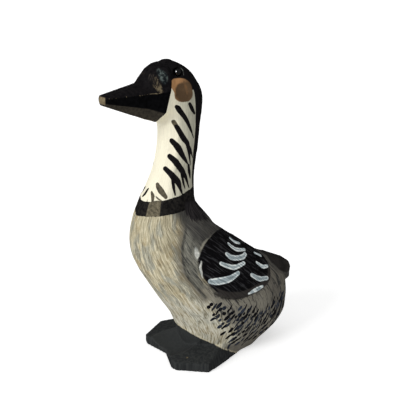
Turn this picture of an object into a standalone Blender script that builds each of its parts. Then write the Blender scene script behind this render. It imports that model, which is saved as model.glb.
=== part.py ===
"""Goose figurine: one block of carved wood with two eye beads.

Metres, +Z up. The goose faces -Y and its left side is +X. It stands on flat soles at Z = 0, with the
origin in the middle of its footprint box. All sizes below are millimetres and are turned to metres
where the meshes are made.
"""

import math
from collections import namedtuple

import bmesh
import bpy
from mathutils import Matrix, Vector
from mathutils.bvhtree import BVHTree

MM = 0.001

# The overall height. The neck runs from the shoulders to the head, and the head keeps its own depth.
CROWN_HEIGHT = 101.6
SHOULDER_HEIGHT = 60.0
HEAD_DEPTH = 21.6
HEAD_BASE = CROWN_HEIGHT - HEAD_DEPTH

# Levels of the carving: height, front and back in the middle plane, half width, how square the
# section is (2 is an ellipse), how far it narrows to the rear, how flat its cuts are. Body heights
# are from the soles, neck heights are shares of the neck, and head heights are drops from the crown.
Level = namedtuple("Level", "height front back half_width square taper flat")
BODY_LEVELS = [
    Level(0.0, -7.0, 20.5, 10.0, 2.2, 0.15, 0.5),
    Level(5.0, -9.0, 27.9, 12.2, 2.2, 0.20, 0.5),
    Level(10.0, -10.6, 31.4, 14.1, 2.2, 0.24, 0.5),
    Level(15.0, -12.8, 32.0, 15.5, 2.2, 0.27, 0.4),
    Level(20.0, -16.1, 31.8, 16.4, 2.2, 0.30, 0.4),
    Level(25.0, -19.3, 30.2, 16.9, 2.2, 0.30, 0.4),
    Level(30.0, -22.3, 24.0, 16.9, 2.2, 0.26, 0.4),
    Level(35.0, -24.7, 16.4, 16.0, 2.2, 0.18, 0.4),
    Level(40.0, -26.0, 9.3, 14.3, 2.2, 0.10, 0.4),
    Level(45.0, -26.2, 3.8, 12.2, 2.2, 0.04, 0.5),
    Level(50.0, -25.5, -0.3, 10.3, 2.1, 0.0, 0.6),
    Level(55.0, -23.6, -4.0, 8.8, 2.1, 0.0, 0.9),
    Level(SHOULDER_HEIGHT, -21.3, -4.5, 7.6, 2.1, 0.0, 1.0),
]
NECK_LEVELS = [
    Level(0.25, -18.9, -4.4, 7.0, 2.1, 0.0, 1.0),
    Level(0.5, -17.4, -3.6, 6.7, 2.1, 0.0, 1.0),
    Level(0.75, -16.5, -2.9, 6.6, 2.1, 0.0, 1.0),
]
HEAD_LEVELS = [
    Level(HEAD_DEPTH, -16.3, -2.4, 6.7, 2.1, 0.0, 1.0),
    Level(16.6, -16.8, -1.7, 7.0, 2.2, 0.0, 0.9),
    Level(12.6, -17.1, -1.6, 7.2, 2.3, 0.0, 0.8),
    Level(9.6, -17.2, -2.4, 7.1, 2.4, 0.0, 0.7),
    Level(6.6, -17.1, -4.2, 6.8, 2.4, 0.0, 0.6),
    Level(4.1, -16.9, -5.9, 6.0, 2.4, 0.0, 0.6),
    Level(2.1, -16.6, -8.2, 4.8, 2.3, 0.0, 0.6),
    Level(0.8, -16.2, -10.6, 3.2, 2.2, 0.0, 0.6),
    Level(0.0, -15.2, -12.6, 1.0, 2.0, 0.0, 0.6),
]
KNIFE_CUTS = 12
POINTS_PER_CUT = 4
RING_STEP = 1.9
CROWN_DROP = 6.6
CROWN_RINGS = 5
EDGE_ANGLE_DEG = 24.0

# The head looks a little to its own left, about an upright line through the neck
HEAD_TURN_DEG = 10.0
NECK_AXIS_Y = -9.7

# The bill and the front of the head, one faceted block that stands proud of the neck. Each section
# is half of its outline: top edge, brow, side ridge, lower ridge and bottom edge, as X and the drop
# from the crown.
BillSection = namedtuple("BillSection", "y lean top brow ridge lower bottom")
BILL_SECTIONS = [
    BillSection(-37.2, 0.0, (1.5, 8.5), (1.9, 8.7), (2.2, 9.1), (2.2, 10.6), (1.5, 11.5)),
    BillSection(-23.9, 0.0, (1.7, 6.2), (3.5, 7.2), (5.7, 8.8), (5.0, 13.4), (2.2, 17.1)),
    BillSection(-20.7, 0.0, (1.8, 2.2), (4.5, 4.8), (6.5, 8.7), (5.8, 14.6), (2.3, 18.2)),
    BillSection(-18.7, 0.1, (2.2, 1.0), (5.4, 3.5), (7.2, 8.6), (6.5, 15.3), (2.4, 18.7)),
    BillSection(-17.5, 0.22, (2.4, 0.7), (5.7, 3.1), (7.4, 8.6), (6.6, 15.4), (2.4, 18.7)),
    BillSection(-12.0, 0.0, (1.5, 3.6), (3.0, 5.6), (4.5, 9.6), (4.0, 12.6), (1.5, 13.6)),
]
BILL_MIDDLE_DROP = 9.6

# Eyes: a glossy bead in a drilled socket. Y and the drop from the crown are where the two beads'
# lines meet in the middle of the head, and each line rises outwards from there.
EYE_DIAMETER = 2.2
EYE_Y = -13.0
EYE_DROP = 5.4
EYE_TILT_DEG = 22.0
EYE_PROUD = 0.8
EYE_SEGMENTS = 24
EYE_RINGS = 14
FIT_CLEARANCE = 0.3

# Wings: raised plates on the flanks. The outline is points on the left flank as X, Y and Z, and the
# plate is cut along a direction that looks up at it from the side.
WING_OUTLINE = [
    (15.0, -10.4, 38.2), (13.5, -8.4, 41.6), (10.0, -3.4, 44.4), (7.5, 2.4, 45.4), (5.5, 7.6, 42.8),
    (5.0, 12.6, 38.7), (5.5, 17.4, 34.2), (9.5, 19.6, 31.0), (12.0, 19.0, 27.2), (14.0, 15.2, 24.3),
    (17.0, 5.6, 23.6), (17.6, -1.5, 25.2), (17.4, -6.0, 28.8), (16.6, -9.4, 33.6),
]
WING_CUT_TILT_DEG = 32.0
WING_STEPS = 4
WING_ROOT = 4.0
WING_MARGIN = 3.8
WING_RELIEF = 1.1

# The hollow that parts the breast from the wing, seen from the side as Y and Z
HOLLOW_PATH = [(-9.4, 53.0), (-13.2, 47.0), (-14.9, 41.0), (-13.4, 34.5), (-9.6, 28.0), (-4.0, 22.0)]
HOLLOW_DEPTH = 1.5
HOLLOW_WIDTH = 3.0
HOLLOW_STARTS = 3.0
HOLLOW_FULL = 9.0

# Tail: a block with flat cuts. Each section is half of its outline as X and Z.
TAIL_SECTIONS = [
    (12.0, (4.0, 34.0), (7.5, 30.0), (6.5, 20.0)),
    (21.5, (4.6, 31.4), (7.8, 28.4), (6.6, 18.5)),
    (32.6, (2.8, 26.5), (3.8, 25.2), (3.4, 20.6)),
]

# Feet: one block with two toes, its outer edge from the notch between the toes to the heel
FOOT_OUTLINE = [
    (9.7, -17.7), (12.0, -17.2), (18.6, -8.2), (15.4, -1.1), (11.3, 6.3), (7.0, 14.5), (2.5, 20.0),
]
FOOT_NOTCH_Y = -15.1
FOOT_THICKNESS = 3.0
FOOT_RISE = 0.17
FOOT_SIDE_FALL = 0.18
FOOT_DRAFT = 0.9
SCOOP_RADIUS = 16.0
SCOOP_Y = -15.0
SCOOP_FLOOR = 1.3
SCOOP_SUBDIVISIONS = 4

WOOD_COLOUR = (0.33, 0.31, 0.27, 1.0)
WOOD_ROUGHNESS = 0.55
EYE_COLOUR = (0.004, 0.004, 0.005, 1.0)
EYE_ROUGHNESS = 0.08


def smooth(value):
    """Ease from 0 to 1."""
    value = min(max(value, 0.0), 1.0)
    return value * value * (3.0 - 2.0 * value)


def cubic(before, start, end, after, at):
    """Read a smooth curve between two of four evenly named values."""
    return 0.5 * (
        2.0 * start
        + (end - before) * at
        + (2.0 * before - 5.0 * start + 4.0 * end - after) * at ** 2
        + (3.0 * start - before - 3.0 * end + after) * at ** 3
    )


def carving_levels():
    """All levels with their heights above the soles."""
    levels = list(BODY_LEVELS)
    for level in NECK_LEVELS:
        height = SHOULDER_HEIGHT + level.height * (HEAD_BASE - SHOULDER_HEIGHT)
        levels.append(level._replace(height=height))
    for level in HEAD_LEVELS:
        levels.append(level._replace(height=CROWN_HEIGHT - level.height))
    return levels


def level_at(height):
    """Read the section at any height from the levels."""
    levels = carving_levels()
    last = len(levels) - 1
    index = 0
    while index < last - 1 and levels[index + 1].height < height:
        index += 1
    start, end = levels[index], levels[index + 1]
    at = (height - start.height) / (end.height - start.height)
    before = levels[max(index - 1, 0)]
    after = levels[min(index + 2, last)]
    values = [cubic(b, s, e, a, at) for b, s, e, a in zip(before, start, end, after)]
    return Level(*values)._replace(height=height)


def turned(x, y, height):
    """Turn a point with the head, by a share that grows up the neck."""
    share = smooth((height - SHOULDER_HEIGHT) / (HEAD_BASE - SHOULDER_HEIGHT))
    angle = math.radians(HEAD_TURN_DEG) * share
    ahead = y - NECK_AXIS_Y
    return (
        x * math.cos(angle) - ahead * math.sin(angle),
        NECK_AXIS_Y + x * math.sin(angle) + ahead * math.cos(angle),
    )


def distance_to_path(point, path):
    """Shortest distance from a point to a run of points."""
    shortest = math.inf
    for start, end in zip(path, path[1:]):
        run = end - start
        share = min(max((point - start).dot(run) / run.length_squared, 0.0), 1.0)
        shortest = min(shortest, (point - start - run * share).length)
    return shortest


def hollow(x, y, height):
    """How deep the hollow between the breast and the wing is at a point."""
    side = smooth((abs(x) - HOLLOW_STARTS) / (HOLLOW_FULL - HOLLOW_STARTS))
    reach = distance_to_path(Vector((y, height)), [Vector(point) for point in HOLLOW_PATH])
    return HOLLOW_DEPTH * side * math.exp(-((reach / HOLLOW_WIDTH) ** 2))


def ring(height, hollowed=True):
    """One level ring of the body, neck or head, with its flat knife cuts."""
    level = level_at(height)
    middle = 0.5 * (level.front + level.back)
    half_depth = 0.5 * (level.back - level.front)
    power = 2.0 / level.square
    count = KNIFE_CUTS * POINTS_PER_CUT
    half_cut = math.pi / KNIFE_CUTS
    points = []
    for index in range(count):
        angle = 2.0 * math.pi * index / count
        across = math.copysign(abs(math.cos(angle)) ** power, math.cos(angle))
        along = math.copysign(abs(math.sin(angle)) ** power, math.sin(angle))
        off_middle = (index % POINTS_PER_CUT) / POINTS_PER_CUT * 2.0 * half_cut - half_cut
        chord = math.cos(half_cut) / math.cos(off_middle)
        reach = 1.0 - level.flat * (1.0 - chord)
        x = level.half_width * across * (1.0 - level.taper * along) * reach
        y = middle + half_depth * along * reach
        if hollowed:
            kept = 1.0 - hollow(x, y, height) / math.hypot(x, y - middle)
            x, y = x * kept, middle + (y - middle) * kept
        x, y = turned(x, y, height)
        points.append(Vector((x, y, height)))
    return points


def ring_heights():
    """Even steps up the figure, and closer ones where the crown rounds over."""
    crown_starts = CROWN_HEIGHT - CROWN_DROP
    steps = round(crown_starts / RING_STEP)
    heights = [crown_starts * index / steps for index in range(steps)]
    for index in range(CROWN_RINGS + 1):
        heights.append(crown_starts + CROWN_DROP * math.sin(0.5 * math.pi * index / CROWN_RINGS))
    return heights


def new_object(name, mesh_edit):
    """Make an object from a mesh in millimetres."""
    mesh = bpy.data.meshes.new(name)
    bmesh.ops.recalc_face_normals(mesh_edit, faces=mesh_edit.faces)
    bmesh.ops.scale(mesh_edit, vec=(MM, MM, MM), verts=mesh_edit.verts)
    mesh_edit.to_mesh(mesh)
    mesh_edit.free()
    item = bpy.data.objects.new(name, mesh)
    bpy.context.scene.collection.objects.link(item)
    return item


def loft(rings):
    """Skin a run of closed rings and cap both ends."""
    mesh_edit = bmesh.new()
    rows = [[mesh_edit.verts.new(point) for point in points] for points in rings]
    for lower, upper in zip(rows, rows[1:]):
        for index in range(len(lower)):
            following = (index + 1) % len(lower)
            mesh_edit.faces.new((lower[index], lower[following], upper[following], upper[index]))
    mesh_edit.faces.new(rows[0])
    mesh_edit.faces.new(rows[-1])
    return mesh_edit


def closed_curve(points, steps):
    """A smooth closed outline through a few points."""
    count = len(points)
    outline = []
    for index in range(count):
        near = [points[(index + shift) % count] for shift in (-1, 0, 1, 2)]
        for step in range(steps):
            at = step / steps
            outline.append(Vector([cubic(*(point[axis] for point in near), at) for axis in range(3)]))
    return outline


def combine(target, tool, operation):
    """Join, cut or intersect two solids and keep the result on the first."""
    modifier = target.modifiers.new(operation.title(), "BOOLEAN")
    modifier.operation = operation
    modifier.solver = "EXACT"
    modifier.object = tool
    bpy.context.view_layer.update()
    graph = bpy.context.evaluated_depsgraph_get()
    result = bpy.data.meshes.new_from_object(target.evaluated_get(graph))
    target.modifiers.remove(modifier)
    old = target.data
    target.data = result
    bpy.data.meshes.remove(old)
    bpy.data.objects.remove(tool)


def make_body():
    """The body, neck and head as one stack of rings."""
    return new_object("carved_goose", loft([ring(height) for height in ring_heights()]))


def make_wing(side):
    """A plate that follows the flank, cut square to the wing's outline."""
    tilt = math.radians(WING_CUT_TILT_DEG)
    outward = Vector((side * math.cos(tilt), 0.0, math.sin(tilt)))
    points = [(side * x, y, z) for x, y, z in WING_OUTLINE]
    outline = closed_curve(points, WING_STEPS)
    inner = min(point.dot(outward) for point in outline) - WING_ROOT
    outline = [point + outward * (inner - point.dot(outward)) for point in outline]
    lowest = min(z for _, _, z in WING_OUTLINE) - WING_MARGIN
    highest = max(z for _, _, z in WING_OUTLINE) + WING_MARGIN
    heights = [height for height in ring_heights() if lowest < height < highest]
    swollen = loft([ring(height, hollowed=False) for height in heights])
    bmesh.ops.recalc_face_normals(swollen, faces=swollen.faces)
    swollen.normal_update()
    for vert in swollen.verts:
        if heights[0] < vert.co.z < heights[-1]:
            vert.co += vert.normal * WING_RELIEF
    wing = new_object("wing", swollen)
    cutter = loft([outline, [point + outward * CROWN_HEIGHT for point in outline]])
    combine(wing, new_object("wing_outline", cutter), "INTERSECT")
    return wing


def mirrored_ring(half, y, lean, middle_height, turn):
    """A whole section from its half outline, across the middle plane."""
    points = [(x, z) for x, z in half] + [(-x, z) for x, z in reversed(half)]
    section = []
    for x, z in points:
        at = y + lean * (z - middle_height)
        if turn:
            x, at = turned(x, at, CROWN_HEIGHT)
        section.append(Vector((x, at, z)))
    return section


def make_bill():
    """The faceted bill and mask."""
    sections = []
    for section in BILL_SECTIONS:
        half = (section.top, section.brow, section.ridge, section.lower, section.bottom)
        half = [(x, CROWN_HEIGHT - drop) for x, drop in half]
        middle_height = CROWN_HEIGHT - BILL_MIDDLE_DROP
        sections.append(mirrored_ring(half, section.y, section.lean, middle_height, True))
    return new_object("bill", loft(sections))


def make_tail():
    """The flat cut tail block."""
    sections = [mirrored_ring(half, y, 0.0, 0.0, False) for y, *half in TAIL_SECTIONS]
    return new_object("tail", loft(sections))


def foot_top(x, y):
    """Height of the top of one foot, a flat plane that rises inwards and to the body."""
    toe_x, toe_y = FOOT_OUTLINE[0]
    return FOOT_THICKNESS + FOOT_RISE * (y - toe_y) - FOOT_SIDE_FALL * (abs(x) - toe_x)


def make_feet():
    """The two toes and their heel, with the scoop that the gouge leaves between them."""
    half = [(0.0, FOOT_NOTCH_Y)] + FOOT_OUTLINE + [(0.0, FOOT_OUTLINE[-1][1])]
    outline = half + [(-x, y) for x, y in reversed(half[1:-1])]
    block = bmesh.new()
    soles = []
    tops = []
    for x, y in outline:
        drawn_in = FOOT_DRAFT * max(foot_top(x, y) - FOOT_THICKNESS, 0.0)
        inner_x = math.copysign(max(abs(x) - drawn_in, 0.0), x)
        soles.append(block.verts.new((x, y, 0.0)))
        tops.append(block.verts.new((inner_x, y, foot_top(inner_x, y))))
    block.faces.new(soles)
    for index in range(len(outline)):
        following = (index + 1) % len(outline)
        block.faces.new((soles[index], soles[following], tops[following], tops[index]))
    block.faces.new(tops[:len(half)])
    block.faces.new([tops[0]] + tops[len(half) - 1:])
    feet = new_object("feet", block)
    scoop = bmesh.new()
    bmesh.ops.create_icosphere(scoop, subdivisions=SCOOP_SUBDIVISIONS, radius=SCOOP_RADIUS)
    bmesh.ops.translate(scoop, vec=(0.0, SCOOP_Y, SCOOP_FLOOR + SCOOP_RADIUS), verts=scoop.verts)
    combine(feet, new_object("scoop", scoop), "DIFFERENCE")
    return feet


def eye_frame(goose, side):
    """Where one eye sits on the side of the turned head, and which way it looks."""
    lean = math.radians(EYE_TILT_DEG)
    outward = Vector((*turned(side * math.cos(lean), NECK_AXIS_Y, CROWN_HEIGHT), math.sin(lean)))
    outward.y -= NECK_AXIS_Y
    aim = Vector((*turned(0.0, EYE_Y, CROWN_HEIGHT), CROWN_HEIGHT - EYE_DROP))
    surface = BVHTree.FromObject(goose, bpy.context.evaluated_depsgraph_get())
    start = aim + outward * CROWN_HEIGHT
    place = surface.ray_cast(start * MM, -outward)[0]
    return place / MM, outward


def facing(outward, middle):
    """Turn a shape's own Z to a direction and move it to its place."""
    return Matrix.Translation(middle) @ outward.to_track_quat("Z", "Y").to_matrix().to_4x4()


def make_socket(place, outward):
    """The drill that leaves room for one bead."""
    radius = 0.5 * EYE_DIAMETER + FIT_CLEARANCE
    depth = EYE_DIAMETER - EYE_PROUD + FIT_CLEARANCE
    length = depth + EYE_DIAMETER
    drill = bmesh.new()
    bmesh.ops.create_cone(
        drill, cap_ends=True, segments=EYE_SEGMENTS, radius1=radius, radius2=radius, depth=length)
    middle = place + outward * (0.5 * length - depth)
    bmesh.ops.transform(drill, matrix=facing(outward, middle), verts=drill.verts)
    return new_object("socket", drill)


def make_eye(name, place, outward):
    """One round bead that stands proud of the head."""
    bead = bmesh.new()
    bmesh.ops.create_uvsphere(
        bead, u_segments=EYE_SEGMENTS, v_segments=EYE_RINGS, radius=0.5 * EYE_DIAMETER)
    middle = place + outward * (EYE_PROUD - 0.5 * EYE_DIAMETER)
    bmesh.ops.transform(bead, matrix=facing(outward, middle), verts=bead.verts)
    eye = new_object(name, bead)
    eye.data.shade_smooth()
    return eye


def paint(item, name, colour, roughness):
    """Give an object its own material."""
    material = bpy.data.materials.new(name)
    material.use_nodes = True
    shader = material.node_tree.nodes["Principled BSDF"]
    shader.inputs["Base Color"].default_value = colour
    shader.inputs["Roughness"].default_value = roughness
    shader.inputs["Metallic"].default_value = 0.0
    material.diffuse_color = colour
    item.data.materials.clear()
    item.data.materials.append(material)


def centre_on_footprint(items):
    """Bring the middle of the whole box to the origin, with the soles at zero."""
    corners = [item.matrix_world @ vert.co for item in items for vert in item.data.vertices]
    lowest = [min(corner[axis] for corner in corners) for axis in range(3)]
    highest = [max(corner[axis] for corner in corners) for axis in range(3)]
    shift = Vector((-0.5 * (lowest[0] + highest[0]), -0.5 * (lowest[1] + highest[1]), -lowest[2]))
    for item in items:
        item.data.transform(Matrix.Translation(shift))


def main():
    """Build the figure."""
    for item in list(bpy.data.objects):
        bpy.data.objects.remove(item, do_unlink=True)
    goose = make_body()
    combine(goose, make_tail(), "UNION")
    combine(goose, make_feet(), "UNION")
    for side in (1.0, -1.0):
        combine(goose, make_wing(side), "UNION")
    combine(goose, make_bill(), "UNION")
    places = {"left_eye": eye_frame(goose, 1.0), "right_eye": eye_frame(goose, -1.0)}
    for place, outward in places.values():
        combine(goose, make_socket(place, outward), "DIFFERENCE")
    goose.data.shade_smooth()
    goose.data.set_sharp_from_angle(angle=math.radians(EDGE_ANGLE_DEG))
    eyes = [make_eye(name, place, outward) for name, (place, outward) in places.items()]
    centre_on_footprint([goose] + eyes)
    paint(goose, "painted_wood", WOOD_COLOUR, WOOD_ROUGHNESS)
    for eye in eyes:
        paint(eye, eye.name + "_bead", EYE_COLOUR, EYE_ROUGHNESS)


main()
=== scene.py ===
"""Carved and hand-painted goose figurine: the painted surface, the eyes, the flecks and the stage.

The goose faces -Y, its left side is +X, and it stands on Z = 0. Places on it are in millimetres.
Where the head is concerned they are given for a head that looks straight ahead, so that left and
right are mirror images, and the paint is laid before the head's slight turn.
"""

import math
from collections import namedtuple

import bmesh
import bpy
import numpy as np
from bpy.props import FloatProperty, FloatVectorProperty, IntProperty, PointerProperty
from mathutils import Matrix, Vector
from mathutils.bvhtree import BVHTree
from mathutils.kdtree import KDTree


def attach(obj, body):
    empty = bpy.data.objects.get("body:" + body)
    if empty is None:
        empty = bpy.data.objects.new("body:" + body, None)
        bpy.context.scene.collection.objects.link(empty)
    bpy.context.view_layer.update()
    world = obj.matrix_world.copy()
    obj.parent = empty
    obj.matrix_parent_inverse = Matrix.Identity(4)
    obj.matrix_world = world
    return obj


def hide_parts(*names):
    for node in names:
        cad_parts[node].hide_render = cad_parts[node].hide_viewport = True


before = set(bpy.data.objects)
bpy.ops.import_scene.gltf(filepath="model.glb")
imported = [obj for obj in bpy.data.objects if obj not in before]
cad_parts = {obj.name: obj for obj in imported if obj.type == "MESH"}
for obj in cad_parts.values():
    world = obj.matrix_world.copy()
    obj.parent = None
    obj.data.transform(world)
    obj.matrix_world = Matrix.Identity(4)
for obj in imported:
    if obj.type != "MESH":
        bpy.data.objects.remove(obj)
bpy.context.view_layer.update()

bl_info = {
    "name": "Carved Goose Figurine",
    "version": (1, 0, 0),
    "blender": (4, 5, 0),
    "location": "View3D > Sidebar > Goose",
    "description": "Builds a hand-painted carved goose on a plain studio floor",
    "category": "Add Mesh",
}

MM = 0.001
# No paint reaches this far from its edge
FAR = 9.0

# The head turns about an upright line, by a share that grows from the shoulders to the head
HEAD_TURN = math.radians(10.0)
NECK_AXIS_Y = -7.4
SHOULDER_Z = 60.0
HEAD_BASE_Z = 80.0

# Middle of the body from the soles up, as heights and Y: the brush went up and down around it
MIDDLE_HEIGHTS = [0.0, 10.0, 20.0, 30.0, 40.0, 50.0, 60.0, 75.0, 101.0]
MIDDLE_Y = [9.0, 12.4, 10.1, 3.5, -5.2, -10.9, -10.6, -7.4, -8.0]
FLOW_RADIUS = 14.0

# Outlines of the paints seen from the side, as Y and height
CAP = [
    (-16.0, 97.6), (-14.0, 97.3), (-11.2, 96.8), (-8.0, 96.2), (-6.4, 94.4), (-5.8, 91.7), (-5.4, 89.0),
    (-5.1, 85.9), (-4.9, 81.0), (-5.1, 76.1), (-5.4, 73.0), (-5.3, 68.1), (-4.8, 62.9), (-4.4, 58.0),
    (12.0, 58.0), (12.0, 104.0), (-16.0, 104.0),
]
CHEEK = [
    (-14.3, 95.9), (-12.6, 96.4), (-10.6, 96.5), (-8.6, 95.9), (-7.1, 94.6), (-6.5, 92.2), (-6.8, 90.4),
    (-8.0, 89.2), (-10.4, 89.1), (-12.1, 90.1), (-12.7, 92.2), (-14.0, 93.7), (-14.6, 95.0),
]
CHEEK_CORE = [
    (-11.7, 94.2), (-10.2, 94.9), (-8.1, 94.6), (-6.9, 93.1), (-6.8, 90.7), (-8.2, 89.6), (-10.4, 89.7),
    (-12.1, 91.1),
]
# A glossy oval on the brow: its blue-grey is a painted reflection
OVAL_REFLECTION = [(-16.2, 100.0), (-14.9, 98.6), (-14.8, 96.6), (-16.4, 94.9), (-17.6, 96.4), (-17.5, 98.8)]
# The worn brow, partly worn paint and partly painted sheen
BROW_WEAR_AND_SHEEN = [(-19.3, 98.0), (-18.2, 97.9), (-17.6, 96.6), (-17.4, 93.4), (-18.9, 93.7), (-19.8, 95.6)]
TAIL = [(22.5, 35.0), (37.0, 29.0), (37.0, 22.6), (32.0, 23.2), (28.6, 25.6), (25.2, 29.0)]
# The crease before the wing and the hollow around it, both painted darker as shade; the hollow's paint is
# partly its own grey
VALLEY = [
    (-7.6, 52.5), (-8.6, 49.7), (-10.1, 46.3), (-11.6, 42.9), (-12.2, 39.0), (-12.0, 35.4), (-10.8, 33.1),
    (-8.0, 29.2), (-5.6, 26.0),
]
HOLLOW = VALLEY[:-1] + [
    (-5.5, 29.5), (-7.5, 33.5), (-7.8, 38.0), (-5.0, 42.5), (0.0, 45.0), (-1.0, 49.0), (-4.5, 52.5),
]
# The deepest painted shade in the hollow, as a path
HOLLOW_DEEP_SHADE = [
    (-4.3, 48.5), (-6.1, 46.5), (-8.2, 44.4), (-9.4, 42.0), (-9.4, 38.5), (-8.6, 35.0), (-6.8, 31.0),
]
FLECKS = [
    (-7.3, 29.0), (-1.5, 24.0), (3.5, 21.5), (9.5, 20.0), (17.5, 16.8), (22.0, 17.5), (27.0, 20.0),
    (31.0, 20.0), (33.0, 14.0), (28.0, 5.0), (20.0, 2.5), (9.0, 1.0), (3.2, 5.5), (1.8, 9.5),
    (-3.2, 17.8), (-4.8, 23.0),
]

# Edges seen from the side, as Y and height: the bill's ridges, the top of the feet's paint, the lower
# end of the back's paint and the top of the flank's
# Below the upper ridge the bill's side is painted darker as shade
UPPER_RIDGE_Y = [-34.9, -21.6, -18.4, -15.2]
UPPER_RIDGE_Z = [92.5, 92.8, 92.9, 93.0]
# Below the lower ridge the underside is painted lighter, as light thrown up from below
LOWER_RIDGE_Y = [-34.9, -21.6, -18.4, -16.4]
LOWER_RIDGE_Z = [91.0, 88.2, 87.0, 86.3]
FEET_Y = [-22.0, -8.3, -5.9, -2.6, 1.1, 7.6, 14.0]
FEET_Z = [11.0, 10.2, 9.1, 7.2, 5.1, 0.8, -3.0]
# Above the back's line the shoulder is painted dark grey, partly its own paint and partly painted shade
BACK_Y = [14.0, 40.0]
BACK_Z = [38.0, 14.6]
FLANK_Y = [5.0, 45.0]
FLANK_Z = [31.0, 51.0]

# Straight edges seen from the side: a place on the edge as Y and height, and how much the distance to
# the edge grows per millimetre toward the tail and per millimetre upward
EDGES = {
    "mask": ((-14.92, 92.0), (1.0, -0.22)), "cheek_turn": ((-9.9, 94.5), (0.9, -0.4)),
    "cheek_band": ((-10.0, 92.0), (-0.9, -1.0)), "shoulder": ((-6.5, 44.0), (-0.7, -0.5)),
    "flank": ((-4.4, 26.0), (-1.0, -0.53)), "belly": ((-14.0, 24.0), (-0.4, 1.0)),
    "low": ((-2.0, 3.0), (-0.25, 1.0)), "rump": ((20.0, 20.0), (-1.0, -0.35)),
}

# Head: the step in the mask's edge, whose black is carried over the groove behind it as painted shade, the
# dark band around the cheek, the bare tip of the bill and the arc behind the eye, whose middle is given as Y
# and height. A line or flat, here and below, is given as the middle of its values and half its width.
MASK_SHADE_STEP = 0.35
MASK_SHADE_STEP_FROM = 92.0
MASK_SHADE_STEP_RISE = 2.5
CHEEK_BAND_WIDTH = 1.2
CHEEK_BAND_BASE = 92.5
TIP_Y = -34.6
TIP_ACROSS = (0.0, 1.8)
TIP_UP = (91.75, 1.1)
EYE_RING = (-10.3, 98.2)
EYE_RING_LINE = (1.45, 0.12)
EYE_RING_FRONT = 1.0
EYE_RING_BASE = 94.0

# The collar's edges by the angle around the neck, from the front to the back
COLLAR_ANGLES = [0.0, 22.0, 38.0, 58.0, 85.0, 120.0, 180.0]
COLLAR_TOP = [56.8, 57.3, 57.9, 58.2, 59.0, 60.2, 61.0]
COLLAR_BOTTOM = [52.1, 52.8, 53.1, 53.5, 53.9, 53.9, 53.9]
NAPE_ANGLES = [0.0, 104.0, 110.0, 118.0, 146.0, 180.0]
NAPE_BOTTOM = [58.0, 57.0, 52.0, 50.2, 49.2, 49.0]
NAPE_TOP = 56.5
NECK_BOTTOM = 55.0
# A flat on the collar painted olive, as the sheen on its lit facet; its edge fades by degrees
COLLAR_SHEEN_FLAT = (35.0, 12.353)
COLLAR_MM_PER_DEGREE = 0.17
# Where the neck's side turns grey, partly as painted shade: an angle, how much it grows down the neck, and
# how much deeper into the grey the darker rear begins
SIDE_ANGLE = 61.0
SIDE_GROWTH = 9.0
SIDE_GROWS_BELOW = 68.0
SIDE_GROWS_OVER = 8.0
SIDE_MM_PER_DEGREE = 0.11
REAR_INSET = 2.4

# The wing's outline on the left flank as X, Y and Z, looked at along a line that leans up
WING = [
    (15.0, -8.1, 38.2), (13.5, -6.1, 41.6), (10.0, -1.1, 44.4), (7.5, 4.7, 45.4), (5.5, 9.9, 42.8),
    (5.0, 14.9, 38.7), (5.5, 19.7, 34.2), (9.5, 21.9, 31.0), (12.0, 21.3, 27.2), (14.0, 17.5, 24.3),
    (17.0, 7.9, 23.6), (17.6, 0.8, 25.2), (17.4, -3.7, 28.8), (16.6, -7.1, 33.6),
]
WING_LEAN = math.radians(32.0)
# Direction of the barbs on the wing, as shares of Y and of the height, and what keeps the noise of the
# two wings apart
BARBS = (0.78, 0.62)
WINGS_APART = 20.0
# The rim lies inside the outline, and narrows above a height by so much per millimetre
RIM = (-0.9, 1.1)
RIM_NARROWS_FROM = 27.0
RIM_NARROWS_BY = 0.35

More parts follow.
